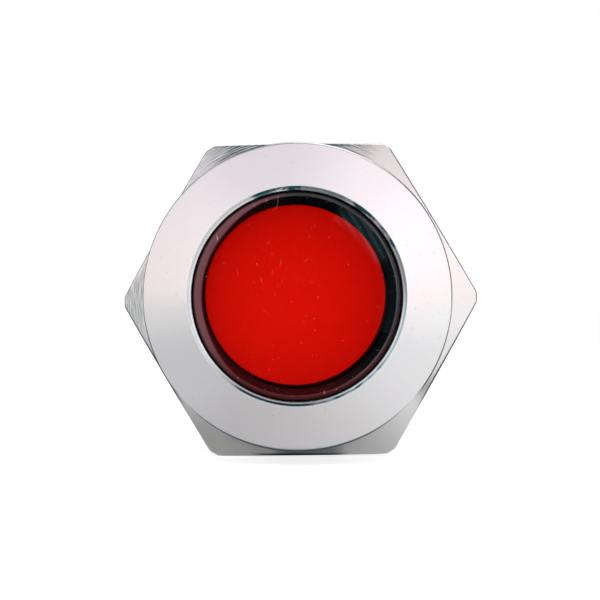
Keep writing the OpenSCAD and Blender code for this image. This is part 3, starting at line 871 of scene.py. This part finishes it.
# %% Edge of the lens
# These colours are painted: a pink reflection on the left, a dark red one below and a near-black teal one on
# the right of the rounding; lit red on the left of the tube wall and a dark teal reflection on its right; a
# grey highlight line; and near-black shade where the lens meets the metal. Only the scratch tint is the
# lens's own.
REFLECTION_LEFT = (0.195, 0.078, 0.088)
REFLECTION_BELOW, REFLECTION_RIGHT = (0.110, 0.009, 0.008), (0.020, 0.030, 0.036)
WALL_LIT_LEFT, WALL_REFLECTION_RIGHT = (0.24, 0.016, 0.020), (0.012, 0.030, 0.034)
SCRATCH_TINT, HIGHLIGHT_TINT, GAP_SHADE = (0.80, 0.42, 0.38), (0.30, 0.31, 0.34), (0.012, 0.006, 0.007)
flat_r = LENS_R - LENS_EDGE
sheen_left = facing(x, z, r, 158).step(0.1, 0.85)
below = facing(x, z, r, 268).step(0.0, 0.8)
above = facing(x, z, r, 82).step(0.5, 0.98)
outer = r.step((LENS_R - 0.20) * MM, (LENS_R - 0.06) * MM)
# The painted band is drawn wider on the left and narrower at the top.
drawn_in = r + (sheen_left * 0.36 - above * 0.31) * MM
rounding = drawn_in.step((flat_r - 0.10) * MM, (flat_r + 0.12) * MM)
# A thin painted highlight line along the inner side of the rounding, on the right.
highlight_line = drawn_in.band((flat_r - 0.07) * MM, (flat_r + 0.10) * MM, 0.07 * MM, 0.07 * MM)
highlight_line = highlight_line * facing(x, z, r, 15).step(0.0, 0.6)
skin_sheen_and_scratches = n.mix(sheen_left, n.mix(below, REFLECTION_RIGHT, REFLECTION_BELOW), REFLECTION_LEFT)
wall_light_and_shade = n.mix(facing(x, z, r, 25).step(-0.4, 0.5), WALL_LIT_LEFT, WALL_REFLECTION_RIGHT)
skin_sheen_and_scratches = n.mix(rounding, wall_light_and_shade, skin_sheen_and_scratches)
skin_sheen_and_scratches = n.mix(lines, skin_sheen_and_scratches, SCRATCH_TINT)
skin_sheen_and_scratches = n.mix(highlight_line * 0.4, skin_sheen_and_scratches, HIGHLIGHT_TINT)
skin_sheen_and_scratches = n.mix(outer, skin_sheen_and_scratches, GAP_SHADE)
frosted = n.add("ShaderNodeBsdfPrincipled", {}, {
    "Base Color": skin_sheen_and_scratches, "Roughness": 0.4, "Specular IOR Level": 0.1})
# The frost's share is larger on the left, below, above and at the outer edge, where it carries the painted
# reflections and the painted shade of the gap.
above_lip = (-y).step(SEAT * MM, (SEAT + 0.3) * MM)
wall_part = r.step((LENS_BORE - 0.05) * MM, (LENS_BORE + 0.15) * MM) * (below * 0.09 + 0.08)
edge_part = rounding * (sheen_left * 0.40 + below * 0.25 + above * 0.25 + 0.45)
frost_and_sheen = above_lip * (wall_part + edge_part + outer * 0.45 + lines * 0.07).clip()
body = n.add("ShaderNodeMixShader", {}, {0: frost_and_sheen, 1: glass, 2: frosted})
filter_red = n.add("ShaderNodeBsdfTransparent", {}, {"Color": tuple(math.sqrt(c) for c in LENS_RED)})
shadow = n.add("ShaderNodeLightPath", {}, {}, "Is Shadow Ray")
n.surface(n.add("ShaderNodeMixShader", {}, {0: shadow, 1: body, 2: filter_red}))
dress(red_lens, "red_window")

# %% [markdown]
# The disc and the cup behind it are white mouldings. Outside the disc the cup is painted dark grey, as
# painted shade that keeps the wall of the lens dark. The disc has a painted glow, light that nothing in the
# room gives it: most just beside its middle, which paints the shade of the bore's wall on the far side, and
# less towards its edge. The glow is red, since the lens lets nothing else out.

# %% Disc and reflector
PAINTED_GLOW_SHIFT = (0.0009, 0.0006)
PAINTED_GLOW_TINT = (1.0, 0.2, 0.15)


def moulded(name, colour, rough, grain, grain_size, variation, shaded_outside=None, glow=0.0):
    """Plain moulded plastic or rubber: a little cloudiness, a fine grain as bump, and a roughness that
    follows the grain.

    A radius in millimetres and a colour, if given, paint shade beyond that radius. A painted glow falls off
    with the square of the distance from its middle: glow (1 - 0.85 (distance / disc radius) squared)."""
    made, n = material(name)
    where, x, y, z = n.place()
    cloud = n.noise(where, 180.0, 3.0, 0.5)
    fine = n.noise(where, grain_size, 3.0, 0.6)
    dark = tuple(c * (1 - variation) for c in colour)
    light = tuple(min(1.0, c * (1 + variation)) for c in colour)
    base = n.mix(cloud, dark, light)
    if shaded_outside:
        radius, beyond = shaded_outside
        # Beyond the radius the colour is painted shade.
        base = n.mix(n.from_axis(x, z).step(radius * MM, (radius + 0.05) * MM), base, beyond)
    shell = {"Base Color": base, "Roughness": (rough + (fine - 0.5) * 0.2).clip(),
             "Normal": n.bump(fine, grain)}
    if glow:
        # Painted glow, centred a little left of and below the middle, which paints shade on the right.
        reach = n.from_axis(x + PAINTED_GLOW_SHIFT[0], z + PAINTED_GLOW_SHIFT[1]) / (disc_r * MM)
        painted_glow = (1 - reach * reach * 0.85) * glow
        shell["Emission Color"] = n.mix(painted_glow.clip(), (0.0, 0.0, 0.0), PAINTED_GLOW_TINT)
        shell["Emission Strength"] = 1.0
    n.surface(n.add("ShaderNodeBsdfPrincipled", {}, shell))
    return made


# The disc's glow is painted light.
dress(moulded("milky_disc", (0.90, 0.90, 0.89), 0.5, 1e-6, 4000.0, 0.02, glow=0.19), "milky_disc")
# Outside the disc the cup is painted dark grey, as painted shade in the wall of the lens.
dress(moulded("white_cup", (0.82, 0.82, 0.80), 0.5, 2e-6, 4000.0, 0.03,
              shaded_outside=(LENS_BORE - 0.25, (0.10, 0.10, 0.10))), "reflector")
dress(moulded("seal_rubber", (0.022, 0.022, 0.023), 0.6, 6e-6, 3500.0, 0.2), "lens_seal")
dress(moulded("gasket_rubber", (0.026, 0.026, 0.027), 0.62, 9e-6, 3000.0, 0.25), "rubber_gasket")
dress(moulded("black_base", (0.018, 0.018, 0.019), 0.42, 5e-6, 5200.0, 0.2), "moulded_base")
dress(moulded("potting", (0.030, 0.028, 0.026), 0.16, 3e-5, 500.0, 0.15), "potting")
dress(moulded("sleeve_film", (0.70, 0.66, 0.55), 0.35, 1e-6, 2500.0, 0.05), "insulating_sleeve")
dress(moulded("led_package", (0.84, 0.80, 0.58), 0.4, 1e-6, 3000.0, 0.05), *[f"led_{i}" for i in range(1, 7)])
dress(moulded("black_case", (0.03, 0.03, 0.032), 0.5, 4e-6, 5000.0, 0.2), "bridge_rectifier")
dress(moulded("white_board", (0.80, 0.81, 0.80), 0.35, 2e-6, 1800.0, 0.03), "led_board")

# %% [markdown]
# ## Metal that isn't nickel, and the driver's parts
#
# The lock washer is hardened steel with a thin zinc coat, cloudy and a little blue. The blades are tin
# over brass: soft, whitish, mottled, and yellow along the sheared edges where the brass shows. The
# driver's parts hide inside, but they are dressed too: a green board with faint tracks, resistors with
# plain rings, a capacitor with a pale stripe.

# %% Washer, blades and pins
def plain_metal(name, colour, rough, spots, mottle, edge=None):
    """Coated sheet metal: cloudy colour, cloudy roughness and a faint rolled bump.

    If edge gives a colour, the metal under the coat shows in it along the sheared edges."""
    made, n = material(name)
    where, x, y, z = n.place()
    cloud = n.noise(where, spots, 4.0, 0.6)
    rolled = n.noise(n.vector("MULTIPLY", where, (900.0, 5000.0, 5000.0)), 1.0, 3.0, 0.6)
    base = n.mix(cloud, tuple(c * (1 - mottle) for c in colour), colour)
    if edge:
        sheared = z.size().step((BLADE_T / 2 - 0.012) * MM, (BLADE_T / 2 - 0.06) * MM)
        base = n.mix(sheared * 0.75, base, edge)
    n.surface(n.add("ShaderNodeBsdfPrincipled", {}, {
        "Base Color": base, "Metallic": 1.0,
        "Roughness": (rough + (cloud - 0.5) * 0.22 + (rolled - 0.5) * 0.12).clip(),
        "Normal": n.bump(rolled * 0.5 + cloud * 0.5, 3e-6)}))
    return made


dress(plain_metal("zinc_steel", (0.60, 0.61, 0.63), 0.32, 700.0, 0.16), "lock_washer")
tinned_brass = plain_metal("tinned_brass", (0.78, 0.77, 0.74), 0.30, 900.0, 0.12, edge=(0.80, 0.60, 0.28))
dress(tinned_brass, "blade_1", "blade_2")
dress(plain_metal("tinned_pins", (0.78, 0.77, 0.75), 0.28, 1200.0, 0.1), "link_pins")

# %% Driver board
made, n = material("green_board")
where, x, y, z = n.place()
tracks = n.add("ShaderNodeTexBrick", {"offset": 0.5}, {
    "Vector": n.vector("MULTIPLY", where, (1.0, 1.0, 0.0)), "Scale": 1.0, "Mortar Size": 0.0002,
    "Brick Width": 0.0031, "Row Height": 0.0017, "Mortar Smooth": 0.3}, "Fac")
cloud = n.noise(where, 900.0, 2.0, 0.5)
green = n.mix(tracks * 0.7, (0.012, 0.075, 0.035), (0.03, 0.16, 0.06))
n.surface(n.add("ShaderNodeBsdfPrincipled", {}, {
    "Base Color": green, "Roughness": (0.3 + cloud * 0.15).clip(), "Normal": n.bump(tracks, 2e-5)}))
dress(made, "driver_board")

# %% Resistors and capacitor
made, n = material("resistor_coat")
where, x, y, z = n.place()
ring = (y * 1900.0).maths("SINE").step(0.55, 0.7)
legs = n.noise(where, 1500.0, 2.0, 0.5)
n.surface(n.add("ShaderNodeBsdfPrincipled", {}, {
    "Base Color": n.mix(ring, (0.62, 0.45, 0.27), (0.20, 0.05, 0.02)), "Roughness": 0.3 + legs * 0.15}))
dress(made, "resistor_1", "resistor_2")

made, n = material("capacitor_wrap")
where, x, y, z = n.place()
can_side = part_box("capacitor")[0].x
stripe = x.step(can_side + 0.0012, can_side + 0.0009)
grain = n.noise(where, 2500.0, 2.0, 0.5)
n.surface(n.add("ShaderNodeBsdfPrincipled", {}, {
    "Base Color": n.mix(stripe, (0.012, 0.018, 0.05), (0.55, 0.56, 0.58)),
    "Roughness": 0.28 + grain * 0.15, "Normal": n.bump(grain, 2e-6)}))
dress(made, "capacitor")

# %% [markdown]
# ## Studio
#
# The lamp lies on a pale floor in a pale room. The camera sees both as white: for its rays alone the
# room is plain white, and the floor adds light of its own to reach white where no shadow falls. Every
# other ray sees the real studio. Metal is nothing but the studio seen in it, so each slope of the lamp
# shows another zone of the room, and the zones matter more than the metal's own colour.
#
# A zone is named by two things: front, the cosine of its angle from the direction straight out of the
# lamp, and toward(degrees), which way it lies as seen from the front. The bezel's face mirrors the
# zone at a front of about 0.8, the nut's bevel the one near 0.7, and the rounded edges sweep over
# everything from there to the back.

# %% Directions in the room
world = bpy.data.worlds.new("studio")
bpy.context.scene.world = world
n = Nodes(world)
direction = n.add("ShaderNodeTexCoord", {}, {}, "Generated")
parts = n.add("ShaderNodeSeparateXYZ", {}, {0: direction}).socket.node.outputs
right, back, up = (Value(n, s) for s in parts)
front = -back


def length(a, b):
    """Square root of a squared plus b squared."""
    return (a * a + b * b).maths("SQRT")


rim = length(right, up) + 0.0001


def toward(degrees):
    """Cosine of the angle, seen from the lamp's front, between a direction and the one at degrees."""
    return facing(right, up, rim, degrees)


print("directions:", len(n.tree.nodes), "nodes")

# %% [markdown]
# The wrap of light is brightest to the right and the upper right, and a little brighter again to the
# left. Far from the front it is weaker, most so above. The zone that the nut's bevel mirrors is a little
# darker at the upper left. Two rings break the wrap: a thin bright one draws the white line on every
# rounded edge, and a broad dark one behind it draws the grey outlines. Close to the front, one bright
# lobe stands on the left and another on the right.

# %% Brightness of the room
wrap = 1.01 + toward(25).step(0.30, 0.90) * 0.27 + toward(30).step(0.90, 1.0) * 0.10
wrap = wrap + toward(160).step(0.70, 0.98) * 0.16
beyond = 0.74 - toward(80).step(0.72, 0.95) * 0.54
near = front.step(0.52, 0.70)
level = wrap * (beyond + (1 - beyond) * near)

on_nut = front.band(0.58, 0.78, 0.06, 0.06)
level = level * (1 - on_nut * (toward(145).step(0.3, 0.9) * 0.24 + toward(65).step(0.8, 0.98) * 0.10))

bright_ring = front.band(0.24, 0.53, 0.08, 0.07) * (1.3 - toward(85).step(0.3, 0.9) * 0.7)
dark_ring = front.band(-0.93, 0.30, 0.18, 0.08) * (0.92 - toward(165).step(0.1, 0.7) * 0.36)
level = (level + bright_ring) * (1 - dark_ring)

lobes = toward(155).step(0.45, 0.80) + toward(0).step(0.60, 0.90) * 0.7
level = level + lobes * front.step(0.84, 0.91) * 1.2
print("brightness:", len(n.tree.nodes), "nodes")

# %% [markdown]
# Straight in front is a dark gap, where the camera looks through. The flat face of the lens mirrors it,
# and so stays deep red. A narrow window with blinds stands in the gap and leaves a small striped glint
# at the upper right of the lens. Its place is counted from the direction in which the flat lens mirrors
# the camera.

# %% Dark gap and window
VIEW = CAMERA_OFF / CAMERA_FAR
gap = (front - (0.965 + lobes * 0.022)).step(-0.018, 0.006)
from_lens = length(right + VIEW, up - VIEW)
aside = facing(right + VIEW, up - VIEW, from_lens, 43)
blinds = ((right * 0.87 + up * 0.5) * 1250.0).maths("SINE").step(-0.4, 0.9)
window = aside.step(0.91, 0.98) * from_lens.step(0.0575, 0.0640) * (blinds * 0.85 + 0.15)
window = window * 0.85 + toward(-10).step(0.0, 0.8) * from_lens.step(0.0560, 0.0680) * 0.10
level = level * (1 - gap) + window * gap
print("the gap is", round(math.degrees(math.acos(0.965))), "degrees wide to each side")

# %% [markdown]
# The light is a little pink, with a touch of lavender from above. It is pinker on the right, past the
# zone that the bezel's face mirrors, and blue-green in one thin ring and in the gap. The camera's own
# rays get plain white instead.

# %% Colours of the room
warm_side, lavender_top = (1.0, 0.91, 0.92), (1.0, 0.94, 0.99)
tint = n.mix(toward(85).step(0.2, 0.9), warm_side, lavender_top)
tint = n.mix(front.step(0.77, 0.71) * toward(20).step(0.2, 0.9), tint, (1.0, 0.87, 0.88))
tint = n.mix(front.band(0.40, 0.62, 0.08, 0.05), tint, (0.80, 1.0, 1.06))
tint = n.mix(gap, tint, (0.50, 0.95, 1.10))
studio = n.vector("SCALE", tint)
n.tree.links.new(level.socket, studio.socket.node.inputs["Scale"])
camera_ray = n.add("ShaderNodeLightPath", {}, {}, "Is Camera Ray")
seen = n.mix(camera_ray, studio, (1.0, 1.0, 1.0))
background = n.add("ShaderNodeBackground", {}, {"Color": seen, "Strength": 1.0})
n.add("ShaderNodeOutputWorld", {}, {"Surface": background})
print("the room is made of", len(n.tree.nodes), "nodes")

# %% [markdown]
# The floor is plain paper to the camera and to soft light. Polished metal sees it in more detail, as it would
# see the things that lie about a lamp in a studio: dark ground on both sides, a dark strip of painted shade
# right below the rim, where the bezel's shadow falls, a lighter place behind the rim on the left, and more
# light to the right and far away.
# The metal's lower half mirrors little else, so its greys and its thin dark line come from here.

# %% Floor
FLOOR = 1.5
floor_z = cad_box[0].z


def stand(name, corners):
    """A flat sheet with these four corners."""
    mesh = bpy.data.meshes.new(name)
    mesh.from_pydata(corners, [], [(0, 1, 2, 3)])
    sheet = bpy.data.objects.new(name, mesh)
    bpy.context.scene.collection.objects.link(sheet)
    return sheet


floor = stand("floor", [(-FLOOR, -FLOOR, floor_z), (FLOOR, -FLOOR, floor_z), (FLOOR, FLOOR, floor_z),
                        (-FLOOR, FLOOR, floor_z)])
made, n = material("pale_floor")
where, x, y, z = n.place()
camera_ray = n.add("ShaderNodeLightPath", {}, {}, "Is Camera Ray")
glossy_ray = n.add("ShaderNodeLightPath", {}, {}, "Is Glossy Ray")
paper = n.mix(n.noise(where, 60.0, 2.0, 0.5), (0.72, 0.735, 0.73), (0.74, 0.755, 0.75))

sideways = x.size()
beside = sideways.step(0.015, 0.020) * y.step(-0.0085, -0.0065)
narrowed = y + (sideways - 0.008).clip() * 0.7
# A dark strip of painted shade under the rim, seen only by mirrors.
shade_under_rim = y.step(-0.0049, -0.0043) * narrowed.step(0.0008, 0.0) * sideways.step(0.0160, 0.0145)
behind_rim = n.from_axis(x, y).step(0.012, 0.008) * y.step(-0.004, 0.0) * x.step(0.004, -0.004)
mirrored = n.mix(behind_rim, (0.845, 0.885, 0.885), (0.97, 1.0, 0.96))
mirrored = n.mix(shade_under_rim * 0.9, mirrored, (0.10, 0.16, 0.18))
mirrored = n.mix(beside * 0.85, mirrored, (0.0, 0.0, 0.0))
matt = n.add("ShaderNodeBsdfDiffuse", {}, {"Color": n.mix(glossy_ray, paper, mirrored)})

open_floor = 1 - beside
to_right = x.step(-0.012, 0.022) * open_floor * 0.36
far = n.from_axis(x, y).step(0.035, 0.16) * 0.24 + x.step(-0.005, -0.018) * open_floor * 0.07
glow = camera_ray * 0.75 + glossy_ray * (1 - shade_under_rim) * (to_right + far)
own = n.add("ShaderNodeEmission", {}, {"Color": (1.0, 1.0, 1.0), "Strength": glow})
n.surface(n.add("ShaderNodeAddShader", {}, {0: matt, 1: own}))
floor.data.materials.append(made)
print("floor at", round(floor_z, 5))

# %% [markdown]
# Two more things stand in the room. A low black card behind the camera is seen only by mirrors and
# glass, and takes the place of the dark things that stand behind a real camera. And one large softbox
# hangs above, a little behind the lamp and to its right, and gives it a soft shadow on the floor.

# %% Black card and softbox
CARD_HALF, CARD_TOP, CARD_BEHIND = 0.04, -0.0025, 0.02
card_y = camera.location.y - CARD_BEHIND
card_low = floor_z + 1e-5
card = stand("black_card", [(-CARD_HALF, card_y, card_low), (CARD_HALF, card_y, card_low),
                            (CARD_HALF, card_y, CARD_TOP), (-CARD_HALF, card_y, CARD_TOP)])
card.visible_camera = False
card.visible_diffuse = False
card.visible_shadow = False
made, n = material("black_card")
where, x, y, z = n.place()
n.surface(n.add("ShaderNodeBsdfDiffuse", {}, {
    "Color": n.mix(n.noise(where, 40.0), (0.004, 0.004, 0.004), (0.006, 0.006, 0.006))}))
card.data.materials.append(made)

RADIANCE = 1.7
softbox = bpy.data.lights.new("softbox", "AREA")
softbox.shape = "RECTANGLE"
softbox.size = 0.44
softbox.size_y = 0.34
softbox.energy = RADIANCE * math.pi * softbox.size * softbox.size_y
softbox_object = bpy.data.objects.new("softbox", softbox)
softbox_object.location = (0.10, 0.09, 0.46)
aim(softbox_object, (0, 0, 0))
bpy.context.scene.collection.objects.link(softbox_object)
print("softbox energy", round(softbox.energy, 3))

# %% [markdown]
# ## The CAD lamp's size
#
# The dressed lamp has to fill the same box as the CAD lamp. The CAD lamp's box is written down.

# %% Sizes
def plain(box):
    """A box of two corners as plain lists of numbers."""
    return [[float(c) for c in corner] for corner in box]


bpy.context.view_layer.update()
print("cad", plain(cad_box))
